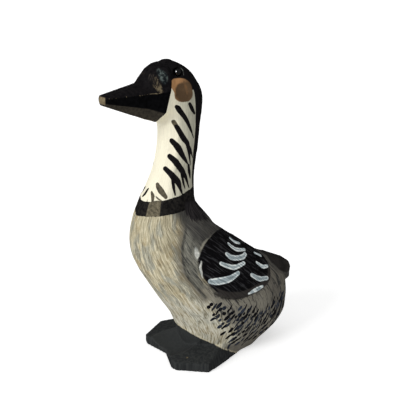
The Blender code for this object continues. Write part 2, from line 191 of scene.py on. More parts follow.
# Pulls of the brush on the left side, by the field that they fill: a seed for the small shifts of
# those on the right side, and each pull's points as X, Y, Z and its width there
STROKES = {
    "neck_strokes": (3, [
        [(5.8, -11.8, 87.7, 1.3), (6.3, -11.1, 86.7, 1.8), (6.6, -8.3, 82.7, 1.3), (6.2, -5.6, 77.0, 0.4)],
        [(7.1, -7.7, 88.3, 1.0), (7.1, -6.8, 86.7, 1.4), (6.7, -5.6, 84.9, 0.8)],
        [(5.2, -11.4, 81.2, 1.6), (6.1, -9.5, 77.6, 1.8), (6.4, -8.0, 75.5, 1.5),
         (6.5, -7.1, 72.1, 0.9), (6.2, -6.3, 68.4, 0.4)],
        [(6.4, -8.2, 75.8, 1.0), (6.4, -6.7, 73.3, 0.9), (6.1, -5.5, 70.5, 0.4)],
        [(4.1, -12.5, 76.7, 1.6), (5.8, -10.9, 74.3, 2.1), (6.3, -9.3, 71.6, 1.5), (6.5, -7.3, 68.6, 0.4)],
        [(4.2, -13.1, 71.7, 1.6), (5.9, -11.6, 69.9, 2.0), (6.8, -9.4, 66.8, 1.8),
         (6.7, -7.8, 64.3, 1.1), (6.6, -6.5, 60.9, 0.4)],
        [(6.8, -9.7, 65.9, 0.7), (7.0, -9.0, 63.5, 0.9), (6.9, -8.2, 61.0, 0.4)],
        [(6.4, -7.2, 68.6, 0.8), (6.3, -6.6, 66.2, 1.3), (6.2, -6.0, 63.9, 0.5)],
        [(4.0, -14.3, 67.8, 1.5), (6.1, -12.6, 65.7, 2.0), (6.9, -10.9, 63.6, 1.9), (7.4, -9.6, 59.6, 0.6)],
        [(6.2, -12.6, 64.9, 0.9), (6.8, -12.3, 62.2, 1.1), (7.4, -12.0, 59.5, 0.5)],
    ]),
    # Neck strokes facing the light, painted olive-grey as the sheen on their black paint
    "sheen_strokes": (4, [
        [(4.7, -12.2, 82.8, 1.5), (5.1, -11.6, 81.6, 1.5)],
        [(3.5, -16.7, 62.8, 1.3), (5.2, -16.0, 60.9, 2.0), (6.8, -15.1, 59.2, 1.3)],
        [(2.8, -18.2, 60.2, 0.8), (3.9, -18.4, 59.1, 1.4), (4.4, -18.6, 57.7, 0.9)],
        [(4.8, -17.5, 59.2, 0.4), (5.6, -17.0, 58.4, 0.5), (6.3, -16.4, 58.1, 0.4)],
    ]),
    "wing_strokes": (5, [
        [(18.0, -5.1, 32.5, 1.4), (18.1, -3.0, 32.0, 2.2), (18.0, -0.9, 31.8, 2.3),
         (17.7, 2.7, 31.8, 2.0), (16.4, 6.5, 32.5, 1.3)],
        [(16.0, 0.1, 37.0, 1.2), (16.1, 2.8, 35.6, 1.5), (15.7, 5.8, 34.5, 1.6), (14.3, 9.9, 34.7, 1.1)],
        [(14.2, 3.5, 39.0, 1.4), (14.4, 5.1, 37.7, 1.7), (14.0, 7.3, 37.0, 1.7),
         (13.1, 10.0, 36.6, 1.7), (11.3, 12.5, 36.8, 1.2)],
        [(11.3, 6.1, 41.5, 1.0), (11.7, 7.5, 40.1, 1.4), (11.5, 9.3, 39.0, 1.4), (9.9, 13.0, 37.8, 1.0)],
        [(8.8, 8.2, 42.4, 0.9), (9.1, 9.7, 41.0, 1.2), (8.5, 11.8, 39.9, 0.8)],
        [(12.1, 16.3, 32.9, 1.1), (12.1, 18.6, 31.0, 1.4), (10.8, 21.0, 30.2, 1.0)],
        [(15.4, 12.2, 30.3, 1.3), (15.0, 15.4, 28.1, 1.7), (13.8, 19.0, 27.2, 1.2)],
        [(17.0, 9.6, 24.7, 0.5), (16.5, 13.4, 25.1, 1.6), (15.4, 16.2, 25.2, 1.0)],
        [(9.0, 17.2, 35.4, 0.8), (8.5, 19.6, 33.6, 1.0)],
    ]),
    "pale_strokes": (6, [
        [(15.9, -7.1, 39.0, 0.3), (16.7, -7.9, 36.5, 0.9), (16.5, -7.1, 33.5, 0.4)],
    ]),
    "edge_strokes": (8, [
        [(13.5, -6.6, 41.6, 0.3), (12.1, -3.9, 43.4, 0.6), (11.6, -1.1, 45.2, 0.5), (8.2, 4.0, 45.1, 0.2)],
    ]),
    # Light lines along the bill's ridges: worn paint and a painted highlight on the edges
    "ridge_wear_and_highlight": (0, [
        [(2.2, -34.9, 92.5, 0.35), (5.7, -21.6, 92.8, 0.35), (6.5, -18.4, 92.9, 0.3)],
        [(1.5, -34.9, 90.1, 0.35), (2.2, -21.6, 84.5, 0.5), (2.4, -17.2, 83.0, 0.5)],
    ]),
    "cheek_streaks": (0, [
        [(6.3, -9.4, 95.4, 0.3), (6.6, -8.9, 93.6, 0.9), (6.9, -8.5, 91.4, 0.3)],
    ]),
    "brow_strokes": (0, [
        [(3.4, -18.5, 97.7, 0.15), (5.0, -18.4, 95.5, 0.25), (6.3, -18.0, 93.6, 0.5)],
        [(3.2, -18.9, 97.2, 0.15), (4.7, -18.9, 95.1, 0.2), (6.2, -18.3, 93.5, 0.5)],
        [(3.9, -18.2, 97.6, 0.1), (5.3, -18.0, 95.6, 0.25), (6.5, -17.7, 93.9, 0.35)],
        [(3.0, -19.3, 96.5, 0.1), (4.4, -19.3, 94.8, 0.2), (5.8, -18.7, 93.5, 0.3)],
        [(4.6, -17.9, 97.2, 0.1), (5.7, -17.7, 95.6, 0.2), (6.5, -17.5, 94.4, 0.2)],
        [(5.7, -18.3, 94.3, 0.4), (6.4, -17.9, 93.4, 1.1)],
    ]),
}
# One more pull on the front of the neck, on one side only
FRONT_STROKES = [
    [(0.7, -18.6, 60.9, 0.6), (0.0, -19.1, 59.2, 1.3), (-0.8, -19.5, 57.9, 0.7)],
]
# Steps from one point of a pull to the next, the most that a pull on the right side is shifted, and how
# far around a pull its field reaches
STROKE_STEPS = 14
STROKE_SHIFT = 0.5
STROKE_MARGIN = 2.5

# The grid that the flecks are cast from: how many in a row, how many rows, their slant, the middle of
# the grid as Y and height, and how far out to the side it stands
FLECK_COLUMNS = 44
FLECK_ROWS = 24
FLECK_ROW_LEAN = math.radians(28.0)
FLECK_MIDDLE = (13.0, 14.0)
FLECK_REACH = 40.0
# Lowest and highest random values of a daub: its shift in metres, the way its long side points, half
# its length, width and thickness as shares of the full ones, and how far inside the area it is dropped
FLECK_SHIFT = ((0.0, -0.6 * MM, -0.6 * MM), (0.0, 0.6 * MM, 0.6 * MM))
FLECK_SLANT = ((0.0, 0.35, 0.7), (0.0, 0.85, 1.0))
FLECK_SHARE = ((0.24, 0.26, 0.5), (0.72, 0.68, 0.5))
FLECK_THINNED = (-0.5, 2.4)

# Body: the highest point of the hollow's painted shade, its painted highlight as Y, height and how much it
# is squeezed each way, and how far and over which heights the flank's grey draws back above the feet
HOLLOW_TOP = 56.0
HOLLOW_HIGHLIGHT = (-7.6, 41.0)
HOLLOW_HIGHLIGHT_SQUEEZE = (1.9, 0.8)
BACK_SOFTNESS = 0.8
FLANK_DRAWN_BACK = 3.0
FLANK_DRAWN_FROM = 18.0
FLANK_DRAWN_OVER = 6.0

# Feet: a chip in the paint and the ball that scoops them out, as X, Y and Z, the painted highlight along
# the scoop's rim, and the dry line along the top of their paint
CHIP = (11.6, -10.4, 3.1)
CHIP_RADIUS = 0.55
SCOOP_MIDDLE = (0.0, -12.72, 17.3)
SCOOP_RADIUS = 16.08
SCOOP_LINE = (0.0, 0.04)
FEET_LINE = (0.2, 0.3)

# Carving: which edges stay sharp and how far they hold the surface; and the paring cuts' heights, reach,
# stretch along the height, least and greatest share of the knife's depth, and depth in all at one place
SHARP_ANGLE = math.radians(24.0)
SHARP_STEP = 0.3
SHARP_HELD = 0.25
SHARP_FADE = 1.5
PARED_FROM = 12.0
PARED_TO = 99.0
KNIFE_SEED = 7
KNIFE_REACH = 4.0
KNIFE_STRETCH = (1.0, 1.0, 0.6)
KNIFE_SHARES = (0.5, 1.4)
KNIFE_DEPTHS_IN_ALL = 2.5
LAST_HOLD = 0.3
LAST_PASSES = 3

# Stage: the camera's aim in millimetres, half the floor's side in metres, how much the floor glows for
# the camera, how wide the key light is, and what shiny things see of the world
CAMERA_AIM = (2.6, 2.28, 51.46)
FLOOR_HALF = 3.0
FLOOR_GLOW = 0.45
KEY_WIDTH = math.radians(24.0)
GLOSSY_WORLD = 0.05


def linear(code):
    """An sRGB hex colour as linear red, green and blue."""
    shares = [int(code[at:at + 2], 16) / 255.0 for at in (1, 3, 5)]
    return tuple(s / 12.92 if s <= 0.04045 else ((s + 0.055) / 1.055) ** 2.4 for s in shares)


def colour_property(name, description, code):
    """A colour that a user may change."""
    return FloatVectorProperty(
        name=name, description=description, subtype="COLOR", size=3, min=0.0, max=1.0,
        default=linear(code))


def length_property(name, description, size, least=0.0, most=1e6):
    """A length in millimetres that a user may change."""
    return FloatProperty(
        name=name, description=description, subtype="DISTANCE", default=size * MM, min=least * MM,
        max=most * MM)


def angle_property(name, description, degrees):
    """An angle that a user may change."""
    return FloatProperty(
        name=name, description=description, subtype="ANGLE", default=math.radians(degrees))


def ease(value):
    """Ease from 0 to 1."""
    value = np.clip(value, 0.0, 1.0)
    return value * value * (3.0 - 2.0 * value)


def direction(azimuth, elevation):
    """Unit vector from the goose to something at that azimuth and elevation."""
    flat = math.cos(elevation)
    return Vector((math.sin(azimuth) * flat, -math.cos(azimuth) * flat, math.sin(elevation)))


def straight(points):
    """Turn the head back, so that it looks straight ahead."""
    angle = -HEAD_TURN * ease((points[:, 2] - SHOULDER_Z) / (HEAD_BASE_Z - SHOULDER_Z))
    ahead = points[:, 1] - NECK_AXIS_Y
    x = points[:, 0] * np.cos(angle) - ahead * np.sin(angle)
    y = NECK_AXIS_Y + points[:, 0] * np.sin(angle) + ahead * np.cos(angle)
    return np.stack([x, y, points[:, 2]], 1)


def smooth_run(points, steps, closed=False):
    """A smooth curve through a few points."""
    points = np.asarray(points, float)
    if closed:
        padded = np.concatenate([points[-1:], points, points[:2]])
    else:
        padded = np.concatenate([2.0 * points[:1] - points[1:2], points, 2.0 * points[-1:] - points[-2:-1]])
    share = (np.arange(steps) / steps)[:, None]
    run = []
    for before, start, end, after in zip(padded, padded[1:], padded[2:], padded[3:]):
        run.append(0.5 * (
            2.0 * start + (end - before) * share
            + (2.0 * before - 5.0 * start + 4.0 * end - after) * share ** 2
            + (3.0 * start - before - 3.0 * end + after) * share ** 3))
    if not closed:
        run.append(points[-1:])
    return np.concatenate(run)


def path_distance(across, up, path):
    """Distance to an open path in a plane."""
    nearest = np.full(len(across), np.inf)
    for start, end in zip(path, path[1:]):
        run = end - start
        off_x, off_y = across - start[0], up - start[1]
        share = np.clip((off_x * run[0] + off_y * run[1]) / (run @ run), 0.0, 1.0)
        nearest = np.minimum(nearest, np.hypot(off_x - share * run[0], off_y - share * run[1]))
    return nearest


def outline_field(across, up, outline):
    """Distance to a closed outline in a plane, below zero inside it."""
    closed = np.concatenate([outline, outline[:1]])
    inside = np.zeros(len(across), bool)
    for start, end in zip(closed, closed[1:]):
        run = end - start
        crossed = (start[1] > up) != (end[1] > up)
        slope = run[0] / run[1] if run[1] else 0.0
        inside ^= crossed & (across - start[0] < (up - start[1]) * slope)
    return path_distance(across, up, closed) * np.where(inside, -1.0, 1.0)


def stroke_field(points, surface, strokes, sides=(1.0, -1.0), seed=0):
    """Distance to the edges of brush strokes that lie on the surface, below zero under the paint."""
    field = np.full(len(points), FAR)
    chance = np.random.default_rng(seed)
    for side in sides:
        for stroke in strokes:
            stroke = np.array(stroke)
            line = smooth_run(stroke[:, :3], STROKE_STEPS)
            shares = np.linspace(0.0, 1.0, len(line))
            widths = np.interp(shares, np.linspace(0.0, 1.0, len(stroke)), stroke[:, 3])
            line = line * (side, 1.0, 1.0)
            if side < 0.0:
                line = line + chance.uniform(-STROKE_SHIFT, STROKE_SHIFT, 3)
            line = np.array([surface.find_nearest(Vector(spot))[0] for spot in line])
            near = np.all(
                (points > line.min(0) - STROKE_MARGIN) & (points < line.max(0) + STROKE_MARGIN), 1)
            chosen = points[near]
            best = field[near]
            for spot, width in zip(line, widths):
                best = np.minimum(best, np.linalg.norm(chosen - spot, axis=1) - 0.5 * width)
            field[near] = best
    return field


def add_node(tree, kind, inputs=None, output=0, **settings):
    """Add a node with its settings, fill or link its inputs, and give back one of its outputs."""
    made = tree.nodes.new(kind)
    for name, value in settings.items():
        setattr(made, name, value)
    for key, value in (inputs or {}).items():
        if isinstance(value, bpy.types.NodeSocket):
            tree.links.new(value, made.inputs[key])
        else:
            made.inputs[key].default_value = value
    return made.outputs[output]


def new_material(name, values):
    """A material with only its Principled shader, set to those values, and its tree."""
    material = bpy.data.materials.new(name)
    material.use_nodes = True
    shader = material.node_tree.nodes["Principled BSDF"]
    for key, value in values.items():
        shader.inputs[key].default_value = value
    return material, material.node_tree, shader


def placed(name, data):
    """A new object with that data, in the scene."""
    item = bpy.data.objects.new(name, data)
    bpy.context.scene.collection.objects.link(item)
    return item


def shaped(item):
    """The mesh that an object's modifiers make of it. The object itself is taken away."""
    bpy.context.view_layer.update()
    mesh = bpy.data.meshes.new_from_object(item.evaluated_get(bpy.context.evaluated_depsgraph_get()))
    bpy.data.objects.remove(item)
    return mesh


def band(values, middle, half_width):
    """Distance to the edges of a band of values, below zero inside it."""
    return np.abs(values - middle) - half_width


def keep_field(mesh, name, values):
    """Store one number, or three, at each vertex."""
    if values.ndim == 1:
        layer = mesh.attributes.new(name, "FLOAT", "POINT")
        layer.data.foreach_set("value", values.astype(np.float32))
    else:
        layer = mesh.attributes.new(name, "FLOAT_VECTOR", "POINT")
        layer.data.foreach_set("vector", values.astype(np.float32).ravel())


class CarvingSettings(bpy.types.PropertyGroup):
    """Sizes of the carved surface."""

    grain: length_property("Surface grain", "Edge length of the fine surface", 0.41, 0.25, 1.0)
    soften: IntProperty(
        name="Sanding passes", description="How often the flats are eased into each other",
        default=16, min=0, max=100)
    knife_depth: length_property("Knife depth", "How deep a paring cut goes", 0.10, 0.0, 0.5)
    knife_cuts: IntProperty(
        name="Knife cuts", description="How many paring cuts cover the body", default=260, min=0, max=1000)


class PaintSettings(bpy.types.PropertyGroup):
    """Colours of the paints."""

    breast: colour_property("Breast", "Warm grey of the breast", "#b8af93")
    breast_light: colour_property("Breast, light", "Pale feather lines", "#dcd4b8")
    breast_dark: colour_property("Breast, dark", "Dark feather lines", "#756d58")
    cool_grey: colour_property("Cool grey", "Blue-grey washes and daubs", "#8d928c")
    flank: colour_property("Flank", "Grey of the flanks", "#949081")
    rump: colour_property("Rump", "Dark grey of the rump", "#5c5851")
    cream: colour_property("Cream", "Neck", "#fdf7df")
    black: colour_property("Black", "Head, collar, wings", "#0f0e10")
    charcoal: colour_property("Charcoal", "Back, tail and feet", "#282a2b")
    chestnut: colour_property("Chestnut", "Rim of the cheek", "#b0845a")
    umber: colour_property("Umber", "Middle of the cheek", "#574431")
    ice: colour_property("Ice blue", "Feather edges on the wings", "#a8b5b9")
    wood: colour_property("Bare wood", "Where no paint is left", "#85795f")


class FleckSettings(bpy.types.PropertyGroup):
    """Sizes of the flecks on the flanks."""

    row_spacing: length_property("Row spacing", "From one slanting row to the next", 1.9, 0.5)
    spacing: length_property("Fleck spacing", "From one fleck to the next in a row", 1.55, 0.3)
    length: length_property("Fleck length", "Length that the shares of a fleck are taken of", 2.7, 0.2)
    width: length_property("Fleck width", "Width that the shares of a fleck are taken of", 1.15, 0.1)
    thickness: length_property("Paint thickness", "How far a daub stands up", 0.05)
    seed: IntProperty(name="Seed", description="Another seed scatters the flecks anew", default=11, min=1)


class StageSettings(bpy.types.PropertyGroup):
    """Floor, light and camera."""

    floor: colour_property("Floor", "Colour of the floor", "#f4f4f4")
    key_strength: FloatProperty(
        name="Key light", description="Strength of the large soft key light", default=1.6, min=0.0)
    key_azimuth: angle_property("Key azimuth", "Angle of the key light round the goose", 15.0)
    key_elevation: angle_property("Key elevation", "Height of the key light as an angle", 29.0)
    sky: FloatProperty(name="Sky", description="Strength of the light all round", default=0.6, min=0.0)
    azimuth: angle_property("Camera azimuth", "Angle of the camera round the goose", 62.0)
    elevation: angle_property("Camera elevation", "Height of the camera as an angle", 19.0)
    distance: length_property("Camera distance", "From the camera to its aim", 300.0, 100.0)
    lens: FloatProperty(
        name="Lens", description="Focal length on a 36 mm sensor", unit="CAMERA", default=78.45, min=10.0)


def merged_source():
    """A copy of the solid's mesh, in millimetres, with its loose triangles joined."""
    solid = bmesh.new()
    solid.from_mesh(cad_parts["carved_goose"].data)
    bmesh.ops.remove_doubles(solid, verts=solid.verts, dist=1e-6)
    bmesh.ops.scale(solid, vec=(1.0 / MM,) * 3, verts=solid.verts)
    return solid


def sharp_spots(solid):
    """Points along the edges that the knife left sharp."""
    spots = []
    for edge in solid.edges:
        if edge.is_manifold and edge.calc_face_angle(0.0) > SHARP_ANGLE:
            start, end = edge.verts[0].co, edge.verts[1].co
            count = max(1, round((end - start).length / SHARP_STEP))
            spots += [start.lerp(end, step / count) for step in range(count + 1)]
    tree = KDTree(len(spots))
    for index, spot in enumerate(spots):
        tree.insert(spot, index)
    tree.balance()
    return tree


def fine_mesh(solid, grain):
    """An even, fine mesh over the solid."""
    coarse = bpy.data.meshes.new("goose_coarse")
    solid.to_mesh(coarse)
    item = placed("goose_coarse", coarse)
    remesh = item.modifiers.new("Fine", "REMESH")
    remesh.mode = "VOXEL"
    remesh.voxel_size = grain / MM
    mesh = shaped(item)
    bpy.data.meshes.remove(coarse)
    return mesh


def eased(mesh, points, hold, passes):
    """Ease the flats into each other, less where the hold is small, as beside a sharp edge."""
    edges = np.empty(len(mesh.edges) * 2, np.int64)
    mesh.edges.foreach_get("vertices", edges)
    first, second = edges.reshape(-1, 2).T
    count = np.bincount(np.concatenate([first, second]), minlength=len(points))[:, None]
    for _ in range(passes):
        total = np.zeros_like(points)
        for axis in range(3):
            total[:, axis] = np.bincount(first, points[second, axis], len(points))
            total[:, axis] += np.bincount(second, points[first, axis], len(points))
        points = points + 0.5 * hold[:, None] * (total / count - points)
    return points


def pared(points, normals, settings):
    """Plane small flats into the round parts, as a knife does."""
    chance = np.random.default_rng(KNIFE_SEED)
    depth = settings.knife_depth / MM
    body = np.flatnonzero((points[:, 2] > PARED_FROM) & (points[:, 2] < PARED_TO))
    left = np.full(len(points), KNIFE_DEPTHS_IN_ALL * depth)
    for index in chance.choice(body, settings.knife_cuts):
        spot, outward = points[index], normals[index]
        near = np.linalg.norm((points - spot) * KNIFE_STRETCH, axis=1) < KNIFE_REACH
        over = (points[near] - spot) @ outward + depth * chance.uniform(*KNIFE_SHARES)
        same_way = ease((normals[near] @ outward - 0.8) / 0.15)
        cut = np.clip(over, 0.0, left[near]) * same_way
        left[near] -= cut
        points[near] -= outward * cut[:, None]
    return points


def paint_fields(mesh, points):
    """Work out how far each vertex is from the edge of each paint."""
    flat = straight(points)
    x, y, z = flat.T
    side = np.where(x < 0.0, -1.0, 1.0)
    turn = np.arctan2(np.abs(x), np.interp(z, MIDDLE_HEIGHTS, MIDDLE_Y) - y)
    angle = np.degrees(turn)
    polygons = [tuple(polygon.vertices) for polygon in mesh.polygons]
    surface = BVHTree.FromPolygons(flat.tolist(), polygons)
    edges = {
        name: slopes[0] * (y - spot[0]) + slopes[1] * (z - spot[1])
        for name, (spot, slopes) in EDGES.items()}
    fields = {name: edges[name] for name in ("cheek_turn", "belly", "low", "rump")}
    fields["place"] = points
    fields["flow"] = np.stack([side * np.sin(turn) * FLOW_RADIUS, -np.cos(turn) * FLOW_RADIUS, z], 1)
    for name, outline in (("cheek", CHEEK), ("cheek_core", CHEEK_CORE), ("oval", OVAL_REFLECTION)):
        fields[name] = outline_field(y, z, smooth_run(outline, 5, True))
    for name, outline in (
            ("cap", CAP), ("brow_wear_and_sheen", BROW_WEAR_AND_SHEEN), ("hollow", HOLLOW), ("fleck_area", FLECKS),
            ("tail", TAIL)):
        fields[name] = outline_field(y, z, np.array(outline))
    # Paths along which shade is painted: the crease and the deepest part of the hollow
    for name, path in (("valley_shade", VALLEY), ("hollow_deep_shade", HOLLOW_DEEP_SHADE)):
        fields[name] = np.where(z < HOLLOW_TOP, path_distance(y, z, np.array(path)), FAR)
    for name, (seed, strokes) in STROKES.items():
        fields[name] = stroke_field(flat, surface, strokes, seed=seed)
    front = stroke_field(flat, surface, FRONT_STROKES, sides=(1.0,))
    fields["neck_strokes"] = np.minimum(fields["neck_strokes"], front)

    head = z > HEAD_BASE_Z
    # Above the bill the mask's black reaches back over the groove behind its edge, as painted shade
    step = MASK_SHADE_STEP * ease((z - MASK_SHADE_STEP_FROM) / MASK_SHADE_STEP_RISE)
    fields["mask"] = np.where(head, edges["mask"] - step, FAR)
    behind = np.maximum(CHEEK_BAND_BASE - z, edges["cheek_band"])
    fields["cap"] = np.minimum(fields["cap"], np.maximum(fields["cheek"] - CHEEK_BAND_WIDTH, behind))
    fields["tip"] = np.maximum(np.maximum(band(x, *TIP_ACROSS), band(z, *TIP_UP)), y - TIP_Y)
    # The bill's underside, painted lighter as light thrown up from below
    fields["underside_lit_from_below"] = np.where(head, z - np.interp(y, LOWER_RIDGE_Y, LOWER_RIDGE_Z), FAR)
    # The bill's side below its upper ridge, painted darker as shade
    fields["bill_side_shade"] = np.maximum(z - np.interp(y, UPPER_RIDGE_Y, UPPER_RIDGE_Z), fields["mask"])
    ring = band(np.hypot(y - EYE_RING[0], z - EYE_RING[1]), *EYE_RING_LINE)
    ring = np.maximum(ring, 0.8 * (EYE_RING[0] + EYE_RING_FRONT - y))
    fields["eye_ring"] = np.where(z > EYE_RING_BASE, ring, FAR)

    fields["neck"] = NECK_BOTTOM - z
    top = np.interp(angle, COLLAR_ANGLES, COLLAR_TOP)
    bottom = np.interp(angle, COLLAR_ANGLES, COLLAR_BOTTOM)
    fields["collar"] = np.maximum(bottom - z, z - top)
    # The collar's flat, painted olive as the sheen on its lit facet
    fields["collar_flat_sheen"] = np.maximum(
        fields["collar"], band(angle, *COLLAR_SHEEN_FLAT) * COLLAR_MM_PER_DEGREE)
    fields["nape"] = np.maximum(np.interp(angle, NAPE_ANGLES, NAPE_BOTTOM) - z, z - NAPE_TOP)
    side_angle = SIDE_ANGLE + SIDE_GROWTH * ease((SIDE_GROWS_BELOW - z) / SIDE_GROWS_OVER)
    fields["neck_side_shade"] = np.maximum(fields["neck"], (side_angle - angle) * SIDE_MM_PER_DEGREE)
    fields["neck_rear_shade"] = fields["neck_side_shade"] + REAR_INSET

    wing = smooth_run(WING, 4, True)
    lean = z * math.cos(WING_LEAN) - np.abs(x) * math.sin(WING_LEAN)
    wing_lean = wing[:, 2] * math.cos(WING_LEAN) - wing[:, 0] * math.sin(WING_LEAN)
    fields["wing"] = outline_field(y, lean, np.stack([wing[:, 1], wing_lean], 1))
    narrowed = RIM_NARROWS_BY * np.maximum(z - RIM_NARROWS_FROM, 0.0)
    fields["wing_rim"] = band(fields["wing"], *RIM) + narrowed
    fields["wing_flow"] = np.stack(
        [y * BARBS[0] - lean * BARBS[1], y * BARBS[1] + lean * BARBS[0], side * WINGS_APART], 1)

    # A painted highlight on the shoulder beside the hollow: a squeezed round daub of pale paint
    daub = (flat[:, 1:] - HOLLOW_HIGHLIGHT) * HOLLOW_HIGHLIGHT_SQUEEZE
    fields["hollow_highlight"] = np.linalg.norm(daub, axis=1) - 1.0
    # The shoulder's dark grey, partly its own paint and partly painted shade of the hollow
    back = BACK_SOFTNESS * (np.interp(y, BACK_Y, BACK_Z) - z)
    fields["shoulder"] = np.maximum(edges["shoulder"], back)
    drawn = FLANK_DRAWN_BACK * ease((FLANK_DRAWN_FROM - z) / FLANK_DRAWN_OVER)
    fields["flank"] = np.maximum(edges["flank"] + drawn, z - np.interp(y, FLANK_Y, FLANK_Z))
    fields["feet"] = z - np.interp(y, FEET_Y, FEET_Z)
    fields["feet_edge"] = band(fields["feet"], *FEET_LINE)
    scoop = np.linalg.norm(points - SCOOP_MIDDLE, axis=1) - SCOOP_RADIUS
    fields["scoop"] = np.maximum(scoop, fields["feet"] + 0.4)
    # A painted highlight along the rim of the feet's scoop
    fields["scoop_edge_highlight"] = np.maximum(band(scoop, *SCOOP_LINE), fields["feet"] + 1.0)
    fields["chip"] = np.linalg.norm(points - CHIP, axis=1) - CHIP_RADIUS
    for name, values in fields.items():
        keep_field(mesh, name, np.clip(values, -FAR, FAR) if values.ndim == 1 else values)


# A noise drawn out along one of the surface's own directions: the attribute it follows, its size in
# millimetres each way, how far the brush wanders, and its fineness
Noise = namedtuple("Noise", "follows sizes wander detail rough")
NOISES = {
    "feather": Noise("flow", (0.38, 0.38, 4.6), 1.1, 4.0, 0.68),
    "quill": Noise("flow", (0.8, 0.8, 5.5), 1.2, 3.0, 0.62),
    "broad": Noise("flow", (2.8, 2.8, 7.0), 2.5, 2.0, 0.5),
    "barbs": Noise("wing_flow", (6.0, 0.5, 1.0), 1.2, 3.0, 0.6),
    "blotch": Noise("place", (5.0, 5.0, 5.0), 0.0, 3.0, 0.55),
    "tooth": Noise("place", (0.9, 0.9, 0.9), 0.0, 4.0, 0.6),
    "upright": Noise("place", (0.7, 0.7, 9.0), 0.3, 2.0, 0.5),
}
# Each pattern is a noise between two levels
PATTERNS = {
    "feather": ("feather", 0.36, 0.64), "furrow": ("feather", 0.47, 0.37),
    "ridge": ("feather", 0.53, 0.61), "broad": ("broad", 0.47, 0.62), "tan": ("blotch", 0.50, 0.38),
    "barbs": ("barbs", 0.45, 0.55), "barb_lines": ("barbs", 0.52, 0.62), "blotch": ("blotch", 0.38, 0.62),
    "tooth": ("tooth", 0.3, 0.7), "dry": ("tooth", 0.46, 0.54), "streak": ("tooth", 0.44, 0.64),
    "upright": ("upright", 0.35, 0.65), "quill": ("quill", 0.49, 0.40), "worn": ("tooth", 0.34, 0.46),
    "brow": ("feather", 0.40, 0.54),
}
# Mixed paints beside those that a user may change: a coat shows two of them, one through the other
# Some of them are painted shade, highlight and sheen, as said beside their coats
SHADES = {
    "tan": "#a3906a", "slate": "#7b7a71", "hollow_grey": "#928f83", "hollow_dark": "#64635a",
    "collar_speck": "#292724", "belly": "#b7b5a6", "belly_light": "#d3d0c0", "side_light": "#d2cfba",
    "side_grey": "#9b998a", "mask_light": "#1c1a1b", "core": "#383836", "core_light": "#53534f",
    "shoulder": "#3a3938", "shoulder_light": "#54524d", "flank_low": "#7b776e", "rim": "#3a3734",
    "rim_dark": "#302d2b", "barb_grey": "#343436", "cream_shade": "#f0ead3", "cream_side": "#b9b7a4",
    "olive": "#4a4538", "olive_light": "#7a725e", "olive_dark": "#413d32", "olive_thin": "#665f4e",
    "chestnut_dark": "#5c4733", "streak_light": "#7d5a3a", "umber_light": "#67513b", "under": "#2a2723",
    "under_light": "#403b33", "wear": "#5c5141", "gloss": "#59625f", "oval_dark": "#191d1f",
    "bill_side_shade": "#060607", "bill_dark": "#0d0d0f", "tail_light": "#252322", "nape_light": "#373435",
    "foot_light": "#353737", "foot_scoop": "#3a3c3c", "foot_line": "#565757", "lit_black": "#1b191a",
    "ice_core": "#7f8b8e", "ice_rim": "#eef4f1", "ochre": "#93815a", "rump_light": "#706c62",
    "edge": "#6f6d62", "edge_light": "#8f8b7e", "patch_light": "#d9d8d0",
}
# The breast's paint: each colour over the last, where its pattern shows
BREAST = [
    ("tan", "tan", 0.5), ("cool_grey", "broad", 0.65), ("breast_dark", "quill", 0.35),
    ("breast_dark", "furrow", 0.85), ("breast_light", "ridge", 0.85),
]
